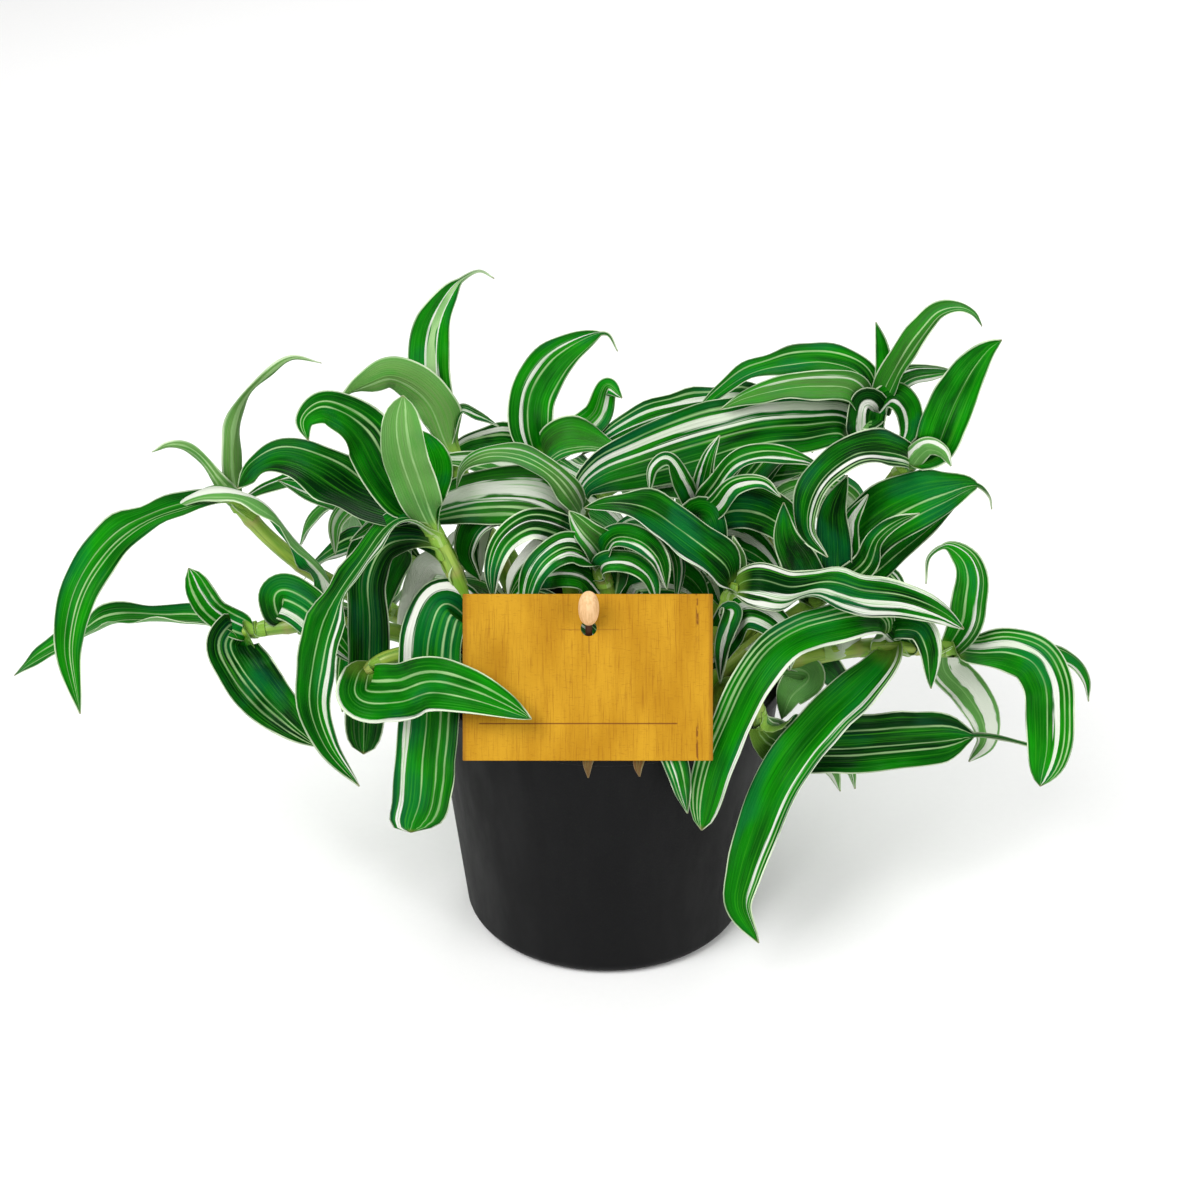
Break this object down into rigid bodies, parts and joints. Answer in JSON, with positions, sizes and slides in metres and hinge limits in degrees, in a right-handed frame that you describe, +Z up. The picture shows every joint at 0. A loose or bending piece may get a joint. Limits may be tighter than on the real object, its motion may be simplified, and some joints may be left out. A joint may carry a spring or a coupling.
{
  "type": "potted foliage plant",
  "caption": "Trailing plant with striped strap-like leaves on jointed stems, in a round tapered nursery pot of soil with a blank wooden tag pegged in front.",
  "frame": {"origin": "centre of the pot's flat underside, on the surface it stands on", "axes": "+Z up, -Y towards the front where the tag is, +X to the right seen from the front"},
  "size_m": [0.366, 0.2138, 0.2133],
  "materials": {
    "pot_plastic": "matte",
    "soil": "matte",
    "tag_wood": "satin",
    "peg_wood": "matte",
    "leaf": "satin"
  },
  "bodies": {
    "root": {"pot": "pot_plastic", "soil": "soil", "tag": "tag_wood", "peg": "peg_wood", "shoot_left_upper": "leaf", "shoot_left_lower": "leaf", "shoot_left_tall": "leaf", "shoot_left_front": "leaf", "shoot_back_left": "leaf", "shoot_back_middle": "leaf", "shoot_centre": "leaf", "shoot_behind_tag": "leaf", "shoot_front_right": "leaf", "shoot_inner_right": "leaf", "shoot_right_middle": "leaf", "shoot_right_top": "leaf", "shoot_right_upper": "leaf", "shoot_right_low": "leaf", "shoot_right_front": "leaf", "shoot_front_low": "leaf", "shoot_far_left": "leaf", "shoot_far_middle": "leaf", "shoot_far_right": "leaf", "shoot_side_left": "leaf", "shoot_side_right": "leaf", "shoot_inner_left": "leaf", "shoot_inner_middle": "leaf"}
  },
  "joints": []
}
